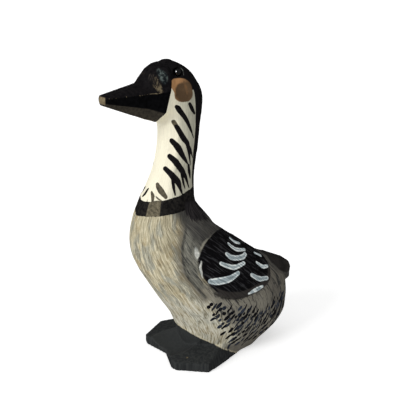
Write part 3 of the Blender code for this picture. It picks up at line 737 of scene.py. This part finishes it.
# One coat of paint: the field it fills, its two colours and the pattern that mixes them, how ragged
# and how soft its edge is in millimetres, its roughness, what it shows through, and how far it spreads
Coat = namedtuple(
    "Coat", "field first second pattern ragged soft rough through spread", defaults=(None, 0.0))
COATS = [
    Coat("belly", "belly", "belly_light", "feather", 4.0, 4.0, 0.62, "feather"),
    # Painted shade beside the crease before the wing, partly the breast's own darker paint
    Coat("valley_shade", "breast_dark", "flank_low", "feather", 2.0, 1.6, 0.6, spread=1.9),
    Coat("flank", "flank", "flank_low", "feather", 3.0, 2.0, 0.62),
    Coat("flank", "rump", "rump_light", "feather", 3.0, 2.0, 0.62, "furrow"),
    Coat("flank", "shoulder", "shoulder_light", "feather", 3.0, 1.5, 0.6, "quill"),
    Coat("rump", "rump", "rump_light", "feather", 4.0, 4.0, 0.6),
    Coat("rump", "core", "shoulder", "feather", 2.0, 1.5, 0.6, "quill"),
    Coat("low", "flank_low", "rump_light", "blotch", 3.0, 2.0, 0.6),
    # Painted shade in the hollow before the wing, over the hollow's own grey
    Coat("hollow", "hollow_dark", "slate", "feather", 1.2, 0.8, 0.6),
    Coat("hollow", "slate", "hollow_grey", "tooth", 1.2, 0.8, 0.6, "ridge"),
    Coat("hollow", "shoulder", "core_light", "feather", 1.2, 0.8, 0.6, "quill"),
    # Painted shade, narrow and dark, along the bottom of the crease
    Coat("valley_shade", "shoulder", "hollow_dark", "feather", 0.5, 0.25, 0.6, spread=0.4),
    # The shoulder's dark grey, partly its own paint and partly painted shade of the hollow
    Coat("shoulder", "shoulder", "shoulder_light", "feather", 2.0, 2.0, 0.5),
    # The deepest painted shade in the hollow
    Coat("hollow_deep_shade", "core", "core_light", "feather", 1.6, 0.6, 0.6),
    # A painted highlight on the shoulder beside the hollow
    Coat("hollow_highlight", "cool_grey", "patch_light", "tooth", 0.8, 0.5, 0.5, spread=0.4),
    Coat("tail", "rim_dark", "tail_light", "blotch", 0.8, 0.3, 0.5),
    Coat("edge_strokes", "edge", "edge_light", "tooth", 0.4, 0.3, 0.5, spread=0.2),
    Coat("wing", "black", "barb_grey", "barb_lines", 0.25, 0.12, 0.42),
    Coat("wing_rim", "rim_dark", "rim", "barbs", 0.8, 0.3, 0.5),
    Coat("pale_strokes", "cool_grey", "patch_light", "tooth", 0.3, 0.15, 0.5, spread=0.1),
    Coat("wing_strokes", "ice", "ice_rim", "barbs", 0.35, 0.1, 0.42, spread=0.05),
    Coat("wing_strokes", "ice_core", "ice", "barbs", 0.8, 0.15, 0.42, spread=-0.4),
    Coat("neck", "cream_shade", "cream", "feather", 0.3, 0.1, 0.5),
    # The neck's side and rear painted greyer, partly as shade
    Coat("neck_side_shade", "cream_side", "side_light", "feather", 0.8, 1.2, 0.5),
    Coat("neck_rear_shade", "side_grey", "cream_side", "feather", 0.8, 1.2, 0.5),
    # Painted sheen: black neck strokes that face the light, painted olive-grey
    Coat("sheen_strokes", "olive_dark", "olive_thin", "tooth", 0.2, 0.08, 0.45),
    Coat("neck_strokes", "black", "lit_black", "tooth", 0.2, 0.06, 0.4),
    # The collar: black speckled with a lighter black, as painted sheen
    Coat("collar", "black", "collar_speck", "tooth", 0.5, 0.08, 0.4),
    # Painted sheen on the collar's lit flat
    Coat("collar_flat_sheen", "olive", "olive_light", "tooth", 0.6, 0.15, 0.4),
    Coat("nape", "black", "nape_light", "feather", 7.0, 0.25, 0.4),
    Coat("cap", "black", "lit_black", "feather", 0.3, 0.08, 0.42),
    Coat("cheek", "chestnut", "chestnut_dark", "cheek", 0.3, 0.15, 0.5),
    Coat("cheek_core", "umber", "umber_light", "blotch", 0.6, 0.35, 0.5, spread=0.2),
    Coat("mask", "black", "mask_light", "tooth", 0.0, 0.05, 0.35),
    # Painted shade on the bill's side below its upper ridge
    Coat("bill_side_shade", "bill_side_shade", "bill_dark", "tooth", 0.1, 0.12, 0.4),
    # The bill's underside painted lighter grey-brown: painted light from below
    Coat("underside_lit_from_below", "under", "under_light", "tooth", 0.0, 0.1, 0.4, "mask"),
    # The worn brow: worn paint, partly painted sheen
    Coat("brow_wear_and_sheen", "rim", "wear", "tooth", 0.8, 0.4, 0.5, "ridge", 0.1),
    Coat("brow_strokes", "wear", "wood", "tooth", 0.4, 0.12, 0.5, "brow"),
    Coat("eye_ring", "rim", "cool_grey", "tooth", 0.0, 0.1, 0.3),
    Coat("cheek_streaks", "umber_light", "streak_light", "tooth", 0.4, 0.3, 0.5),
    # Painted reflection on the glossy oval of the brow
    Coat("oval", "oval_dark", "gloss", "streak", 0.8, 0.3, 0.15, "mask", -0.3),
    # Worn paint and painted highlight along the bill's ridges
    Coat("ridge_wear_and_highlight", "wear", "wood", "tooth", 0.1, 0.06, 0.4, "worn"),
    Coat("tip", "wear", "wood", "tooth", 0.3, 0.12, 0.6),
    Coat("feet", "charcoal", "foot_light", "upright", 0.9, 0.15, 0.6),
    Coat("scoop", "foot_scoop", "foot_light", "tooth", 0.0, 0.12, 0.6),
    # Painted highlight along the rim of the scoop in the feet
    Coat("scoop_edge_highlight", "foot_light", "foot_line", "tooth", 0.0, 0.12, 0.6),
    Coat("feet_edge", "ochre", "breast_light", "tooth", 0.9, 0.2, 0.6, "dry"),
    Coat("chip", "ochre", "wood", "tooth", 0.8, 0.2, 0.6, "dry"),
]


def goose_material(paints):
    """Matt and satin acrylic over carved wood: brushed on thin, so strokes and bare wood show."""
    material, tree, shader = new_material("acrylic_on_carved_wood", {"Specular IOR Level": 0.05})
    palette = {name: (*getattr(paints, name), 1.0) for name in paints.__annotations__}
    palette.update({name: (*linear(code), 1.0) for name, code in SHADES.items()})
    place = add_node(tree, "ShaderNodeTexCoord", output="Object")
    bend = add_node(
        tree, "ShaderNodeTexNoise", {"Vector": place, "Scale": 1.0 / (7.0 * MM), "Detail": 2.0}, "Color")
    bend = add_node(tree, "ShaderNodeVectorMath", {0: bend, 1: (0.5, 0.5, 0.5)}, operation="SUBTRACT")
    noises = {}
    for name, noise in NOISES.items():
        flow = add_node(tree, "ShaderNodeAttribute", output="Vector", attribute_name=noise.follows)
        moved = add_node(
            tree, "ShaderNodeVectorMath", {0: bend, 1: (noise.wander,) * 3, 2: flow},
            operation="MULTIPLY_ADD")
        drawn = add_node(
            tree, "ShaderNodeVectorMath", {0: moved, 1: tuple(1.0 / size for size in noise.sizes)},
            operation="MULTIPLY")
        noises[name] = add_node(
            tree, "ShaderNodeTexNoise",
            {"Vector": drawn, "Scale": 1.0, "Detail": noise.detail, "Roughness": noise.rough})
    spans = {name: (noises[noise], low, high) for name, (noise, low, high) in PATTERNS.items()}
    for name, field, low, high in (("cheek", "cheek_turn", -2.5, 2.5), ("mask", "mask", 0.1, -0.1)):
        spans[name] = (
            add_node(tree, "ShaderNodeAttribute", output="Fac", attribute_name=field), low, high)
    patterns = {}
    for name, (value, low, high) in spans.items():
        patterns[name] = add_node(
            tree, "ShaderNodeMapRange", {"Value": value, "From Min": low, "From Max": high},
            interpolation_type="SMOOTHSTEP")

    colour = palette["breast"]
    for name, pattern, most in BREAST:
        share = add_node(tree, "ShaderNodeMath", {0: patterns[pattern], 1: most}, operation="MULTIPLY")
        colour = add_node(tree, "ShaderNodeMix", {0: share, 6: colour, 7: palette[name]}, 2, data_type="RGBA")
    rough = 0.62
    for coat in COATS:
        distance = add_node(tree, "ShaderNodeAttribute", output="Fac", attribute_name=coat.field)
        chance = noises["feather" if coat.pattern == "feather" else "tooth"]
        edge = add_node(
            tree, "ShaderNodeMath", {0: chance, 1: coat.ragged, 2: distance}, operation="MULTIPLY_ADD")
        middle = 0.5 * coat.ragged + coat.spread
        cover = add_node(
            tree, "ShaderNodeMapRange",
            {"Value": edge, "From Min": middle + coat.soft, "From Max": middle - coat.soft},
            interpolation_type="SMOOTHSTEP")
        if coat.through:
            cover = add_node(
                tree, "ShaderNodeMath", {0: cover, 1: patterns[coat.through]}, operation="MULTIPLY")
        paint = add_node(
            tree, "ShaderNodeMix",
            {0: patterns[coat.pattern], 6: palette[coat.first], 7: palette[coat.second]}, 2,
            data_type="RGBA")
        colour = add_node(tree, "ShaderNodeMix", {0: cover, 6: colour, 7: paint}, 2, data_type="RGBA")
        rough = add_node(tree, "ShaderNodeMix", {0: cover, 2: rough, 3: coat.rough}, data_type="FLOAT")

    grit = add_node(tree, "ShaderNodeMath", {0: noises["tooth"], 1: 0.3}, operation="MULTIPLY")
    height = add_node(
        tree, "ShaderNodeMath", {0: noises["feather"], 1: 0.6, 2: grit}, operation="MULTIPLY_ADD")
    bump = add_node(
        tree, "ShaderNodeBump", {"Strength": 0.6, "Distance": 0.22 * MM, "Height": height}, "Normal")
    tree.links.new(colour, shader.inputs["Base Color"])
    tree.links.new(rough, shader.inputs["Roughness"])
    tree.links.new(bump, shader.inputs["Normal"])
    return material


def fleck_material():
    """Two dark paints on one brush: some daubs come out black, some blue-grey."""
    material, tree, shader = new_material("acrylic_daubs", {"Roughness": 0.5, "Specular IOR Level": 0.012})
    tint = add_node(tree, "ShaderNodeAttribute", output="Fac", attribute_name="tint")
    place = add_node(tree, "ShaderNodeTexCoord", output="Object")
    streak = add_node(tree, "ShaderNodeTexNoise", {"Vector": place, "Scale": 1.0 / (0.6 * MM), "Detail": 3.0})
    blend = add_node(tree, "ShaderNodeMath", {0: streak, 1: 0.7, 2: tint}, operation="MULTIPLY_ADD")
    share = add_node(tree, "ShaderNodeMapRange", {"Value": blend, "From Min": 0.85, "From Max": 1.25})
    colour = add_node(
        tree, "ShaderNodeMix",
        {0: share, 6: (*linear("#131317"), 1.0), 7: (*linear("#373d48"), 1.0)}, 2, data_type="RGBA")
    tree.links.new(colour, shader.inputs["Base Color"])
    return material


def fleck_tree(material):
    """Rows of short daubs, cast on the flank from the side, thinned at random and laid on the paint."""
    tree = bpy.data.node_groups.new("fleck_rows", "GeometryNodeTree")
    for name, kind in (
            ("Goose", "Object"), ("Side", "Float"), ("Row spacing", "Float"), ("Spacing", "Float"),
            ("Length", "Float"), ("Width", "Float"), ("Thickness", "Float"), ("Seed", "Int")):
        tree.interface.new_socket(name, in_out="INPUT", socket_type="NodeSocket" + kind)
    tree.interface.new_socket("Flecks", in_out="OUTPUT", socket_type="NodeSocketGeometry")
    given = tree.nodes.new("NodeGroupInput").outputs
    skin = add_node(tree, "GeometryNodeObjectInfo", {"Object": given["Goose"]}, "Geometry")

    across, along = (
        add_node(tree, "ShaderNodeMath", {0: given[gap], 1: count - 1.0}, operation="MULTIPLY")
        for gap, count in (("Spacing", FLECK_COLUMNS), ("Row spacing", FLECK_ROWS)))
    grid = add_node(
        tree, "GeometryNodeMeshGrid",
        {"Size X": across, "Size Y": along, "Vertices X": FLECK_COLUMNS, "Vertices Y": FLECK_ROWS})
    grid = add_node(tree, "GeometryNodeTransform", {0: grid, "Rotation": (0.0, 0.0, FLECK_ROW_LEAN)})
    reach = add_node(tree, "ShaderNodeMath", {0: given["Side"], 1: FLECK_REACH * MM}, operation="MULTIPLY")
    start = add_node(
        tree, "ShaderNodeCombineXYZ", {"X": reach, "Y": FLECK_MIDDLE[0] * MM, "Z": FLECK_MIDDLE[1] * MM})
    grid = add_node(
        tree, "GeometryNodeTransform",
        {0: grid, "Translation": start, "Rotation": (math.pi / 2.0, 0.0, math.pi / 2.0)})
    shift, slant, share = (
        add_node(
            tree, "FunctionNodeRandomValue", {0: low, 1: high, "Seed": given["Seed"]},
            data_type="FLOAT_VECTOR")
        for low, high in (FLECK_SHIFT, FLECK_SLANT, FLECK_SHARE))
    thinned, tint = (
        add_node(
            tree, "FunctionNodeRandomValue", {2: low, 3: high, "Seed": given["Seed"]}, 1,
            data_type="FLOAT")
        for low, high in (FLECK_THINNED, (0.0, 1.0)))
    grid = add_node(tree, "GeometryNodeSetPosition", {"Geometry": grid, "Offset": shift})

    area, drop, outward, height = (
        add_node(tree, "GeometryNodeInputNamedAttribute", {"Name": name}, data_type=kind)
        for name, kind in (
            ("fleck_area", "FLOAT"), ("left_out", "BOOLEAN"), ("outward", "FLOAT_VECTOR"), ("rise", "FLOAT")))
    inwards = add_node(tree, "ShaderNodeMath", {0: given["Side"], 1: -1.0}, operation="MULTIPLY")
    aim = add_node(tree, "ShaderNodeCombineXYZ", {"X": inwards})
    hit = add_node(
        tree, "GeometryNodeRaycast",
        {"Target Geometry": skin, "Attribute": area, "Ray Direction": aim,
         "Ray Length": 2.0 * FLECK_REACH * MM}, "Is Hit", data_type="FLOAT").node.outputs
    grid = add_node(
        tree, "GeometryNodeStoreNamedAttribute",
        {"Geometry": grid, "Name": "outward", "Value": hit["Hit Normal"]}, data_type="FLOAT_VECTOR",
        domain="POINT")
    edge = add_node(tree, "ShaderNodeMath", {0: hit["Attribute"], 1: thinned}, operation="ADD")
    outside = add_node(
        tree, "FunctionNodeCompare", {0: edge, 1: 0.0}, data_type="FLOAT", operation="GREATER_THAN")
    missed = add_node(tree, "FunctionNodeBooleanMath", {0: hit["Is Hit"]}, operation="NOT")
    left_out = add_node(tree, "FunctionNodeBooleanMath", {0: outside, 1: missed}, operation="OR")
    grid = add_node(
        tree, "GeometryNodeStoreNamedAttribute", {"Geometry": grid, "Name": "left_out", "Value": left_out},
        data_type="BOOLEAN", domain="POINT")
    grid = add_node(tree, "GeometryNodeSetPosition", {"Geometry": grid, "Position": hit["Hit Position"]})
    grid = add_node(tree, "GeometryNodeDeleteGeometry", {"Geometry": grid, "Selection": drop}, domain="POINT")

    turned = add_node(tree, "FunctionNodeAlignRotationToVector", {"Vector": slant}, axis="X")
    turned = add_node(
        tree, "FunctionNodeAlignRotationToVector", {"Rotation": turned, "Vector": outward},
        axis="Z", pivot_axis="X")
    size = add_node(
        tree, "ShaderNodeCombineXYZ", {"X": given["Length"], "Y": given["Width"], "Z": given["Thickness"]})
    size = add_node(tree, "ShaderNodeVectorMath", {0: size, 1: share}, operation="MULTIPLY")
    daub = add_node(tree, "GeometryNodeMeshUVSphere", {"Segments": 8, "Rings": 4, "Radius": 1.0})
    place = add_node(tree, "GeometryNodeInputPosition")
    rise = add_node(tree, "ShaderNodeSeparateXYZ", {0: place}, "Z")
    daub = add_node(
        tree, "GeometryNodeStoreNamedAttribute", {"Geometry": daub, "Name": "rise", "Value": rise},
        data_type="FLOAT", domain="POINT")
    flecks = add_node(
        tree, "GeometryNodeInstanceOnPoints",
        {"Points": grid, "Instance": daub, "Rotation": turned, "Scale": size})
    flecks = add_node(
        tree, "GeometryNodeStoreNamedAttribute", {"Geometry": flecks, "Name": "tint", "Value": tint},
        data_type="FLOAT", domain="INSTANCE")
    flecks = add_node(tree, "GeometryNodeRealizeInstances", {"Geometry": flecks})

    normal = add_node(tree, "GeometryNodeInputNormal")
    foot, upward = (
        add_node(
            tree, "GeometryNodeSampleNearestSurface", {"Mesh": skin, "Value": value},
            data_type="FLOAT_VECTOR")
        for value in (place, normal))
    lift = add_node(
        tree, "ShaderNodeMath", {0: height, 1: given["Thickness"], 2: 0.01 * MM}, operation="MULTIPLY_ADD")
    lifted = add_node(tree, "ShaderNodeVectorMath", {0: upward, 3: lift}, operation="SCALE")
    laid = add_node(tree, "ShaderNodeVectorMath", {0: foot, 1: lifted}, operation="ADD")
    flecks = add_node(tree, "GeometryNodeSetPosition", {"Geometry": flecks, "Position": laid})
    flecks = add_node(tree, "GeometryNodeSetShadeSmooth", {"Geometry": flecks})
    flecks = add_node(tree, "GeometryNodeSetMaterial", {"Geometry": flecks, "Material": material})
    tree.links.new(flecks, tree.nodes.new("NodeGroupOutput").inputs[0])
    return tree


class FIGURINE_OT_goose(bpy.types.Operator):
    """Make the carved and painted goose"""

    bl_idname = "figurine.goose"
    bl_label = "Carve and Paint the Goose"

    def execute(self, context):
        carving = context.scene.goose_carving
        solid = merged_source()
        sharp = sharp_spots(solid)
        skin = BVHTree.FromBMesh(solid)
        mesh = fine_mesh(solid, carving.grain)
        solid.free()
        points = np.array([skin.find_nearest(vert.co)[0] for vert in mesh.vertices])
        reach = np.array([sharp.find(spot)[2] for spot in points])
        hold = ease((reach - SHARP_HELD) / SHARP_FADE)
        points = eased(mesh, points, hold, carving.soften)
        mesh.vertices.foreach_set("co", points.ravel())
        mesh.update()
        normals = np.empty(points.size)
        mesh.vertices.foreach_get("normal", normals)
        points = pared(points, normals.reshape(-1, 3), carving)
        points = eased(mesh, points, LAST_HOLD + (1.0 - LAST_HOLD) * hold, LAST_PASSES)
        paint_fields(mesh, points)
        mesh.vertices.foreach_set("co", (points * MM).ravel())
        mesh.update()
        mesh.shade_smooth()
        mesh.materials.clear()
        mesh.materials.append(goose_material(context.scene.goose_paint))
        goose = placed("painted_goose", mesh)
        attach(goose, "root")
        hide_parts("carved_goose")
        return {"FINISHED"}


class FIGURINE_OT_flecks(bpy.types.Operator):
    """Daub rows of dark flecks on both flanks"""

    bl_idname = "figurine.flecks"
    bl_label = "Daub the Flecks"

    def execute(self, context):
        flecks = context.scene.goose_flecks
        goose = bpy.data.objects["painted_goose"]
        tree = fleck_tree(fleck_material())
        for name, side in (("left_flecks", 1.0), ("right_flecks", -1.0)):
            carrier = placed(name + "_rows", bpy.data.meshes.new(name + "_rows"))
            modifier = carrier.modifiers.new("Flecks", "NODES")
            modifier.node_group = tree
            values = {
                "Goose": goose, "Side": side, "Row spacing": flecks.row_spacing, "Spacing": flecks.spacing,
                "Length": flecks.length, "Width": flecks.width, "Thickness": flecks.thickness,
                "Seed": flecks.seed + int(side),
            }
            for socket in tree.interface.items_tree:
                if socket.in_out == "INPUT":
                    modifier[socket.identifier] = values[socket.name]
            mesh = shaped(carrier)
            if not mesh.polygons:
                raise RuntimeError("no flecks landed on the flank")
            mesh.name = name
            piece = placed(name, mesh)
            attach(piece, "root")
        return {"FINISHED"}


class FIGURINE_OT_eyes(bpy.types.Operator):
    """Give the two eye beads their gloss"""

    bl_idname = "figurine.eyes"
    bl_label = "Gloss the Eyes"

    def execute(self, context):
        material = new_material("gloss_black_bead", {
            "Base Color": (*linear("#060607"), 1.0), "Roughness": 0.15, "Specular IOR Level": 1.0,
            "IOR": 1.8})[0]
        for name in ("left_eye", "right_eye"):
            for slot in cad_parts[name].material_slots:
                slot.material = material
        return {"FINISHED"}


class FIGURINE_OT_stage(bpy.types.Operator):
    """Lay the floor, hang the lamp and place the camera"""

    bl_idname = "figurine.stage"
    bl_label = "Set the Stage"

    def execute(self, context):
        scene = context.scene
        stage = scene.goose_stage
        scene.view_settings.view_transform = "Standard"
        floor_edit = bmesh.new()
        bmesh.ops.create_grid(floor_edit, x_segments=1, y_segments=1, size=FLOOR_HALF)
        floor_mesh = bpy.data.meshes.new("floor")
        floor_edit.to_mesh(floor_mesh)
        floor_edit.free()
        floor = placed("floor", floor_mesh)
        material, tree, shader = new_material("matt_paper_floor", {
            "Base Color": (*stage.floor, 1.0), "Roughness": 0.9, "Emission Color": (1.0, 1.0, 1.0, 1.0)})
        seen = add_node(tree, "ShaderNodeLightPath", output="Is Camera Ray")
        glow = add_node(tree, "ShaderNodeMath", {0: seen, 1: FLOOR_GLOW}, operation="MULTIPLY")
        tree.links.new(glow, shader.inputs["Emission Strength"])
        floor_mesh.materials.append(material)
        floor.visible_glossy = False

        world = bpy.data.worlds.new("studio")
        scene.world = world
        world.use_nodes = True
        tree = world.node_tree
        path = add_node(tree, "ShaderNodeLightPath").node.outputs
        seen = add_node(
            tree, "ShaderNodeMath", {0: path["Is Camera Ray"], 1: path["Is Transmission Ray"]},
            operation="MAXIMUM")
        strength = add_node(tree, "ShaderNodeMix", {0: seen, 2: stage.sky, 3: 1.0}, data_type="FLOAT")
        strength = add_node(
            tree, "ShaderNodeMix", {0: path["Is Glossy Ray"], 2: strength, 3: GLOSSY_WORLD},
            data_type="FLOAT")
        background = tree.nodes["Background"]
        background.inputs["Color"].default_value = (1.0, 1.0, 1.0, 1.0)
        tree.links.new(strength, background.inputs["Strength"])

        data = bpy.data.lights.new("key_light", "SUN")
        data.energy = stage.key_strength
        data.angle = KEY_WIDTH
        lamp = placed("key_light", data)
        away = direction(stage.key_azimuth, stage.key_elevation)
        lamp.rotation_euler = away.to_track_quat("Z", "Y").to_euler()

        camera_data = bpy.data.cameras.new("camera")
        camera_data.sensor_width = 36.0
        camera_data.lens = stage.lens
        camera_data.clip_start = 0.01
        camera = placed("camera", camera_data)
        away = direction(stage.azimuth, stage.elevation)
        camera.location = Vector(CAMERA_AIM) * MM + away * stage.distance
        camera.rotation_euler = away.to_track_quat("Z", "Y").to_euler()
        scene.camera = camera
        return {"FINISHED"}


class VIEW3D_PT_figurine(bpy.types.Panel):
    """Sizes, colours and buttons of the goose"""

    bl_label = "Carved Goose"
    bl_space_type = "VIEW_3D"
    bl_region_type = "UI"
    bl_category = "Goose"

    def draw(self, context):
        scene = context.scene
        for title, settings in (
                ("Carving", scene.goose_carving), ("Paint", scene.goose_paint),
                ("Flecks", scene.goose_flecks), ("Stage", scene.goose_stage)):
            column = self.layout.column(align=True)
            column.label(text=title)
            for name in settings.__annotations__:
                column.prop(settings, name)
        column = self.layout.column(align=True)
        for operator in (FIGURINE_OT_goose, FIGURINE_OT_flecks, FIGURINE_OT_eyes, FIGURINE_OT_stage):
            column.operator(operator.bl_idname)


CLASSES = (
    CarvingSettings, PaintSettings, FleckSettings, StageSettings,
    FIGURINE_OT_goose, FIGURINE_OT_flecks, FIGURINE_OT_eyes, FIGURINE_OT_stage, VIEW3D_PT_figurine,
)


def register():
    """Make the settings, buttons and panel known."""
    for item in CLASSES:
        bpy.utils.register_class(item)
    bpy.types.Scene.goose_carving = PointerProperty(type=CarvingSettings)
    bpy.types.Scene.goose_paint = PointerProperty(type=PaintSettings)
    bpy.types.Scene.goose_flecks = PointerProperty(type=FleckSettings)
    bpy.types.Scene.goose_stage = PointerProperty(type=StageSettings)


def unregister():
    """Take the settings, buttons and panel away again."""
    del bpy.types.Scene.goose_stage
    del bpy.types.Scene.goose_flecks
    del bpy.types.Scene.goose_paint
    del bpy.types.Scene.goose_carving
    for item in reversed(CLASSES):
        bpy.utils.unregister_class(item)


def main():
    """Build the figurine."""
    register()
    bpy.ops.figurine.goose()
    bpy.ops.figurine.flecks()
    bpy.ops.figurine.eyes()
    bpy.ops.figurine.stage()


if __name__ == "__main__":
    main()
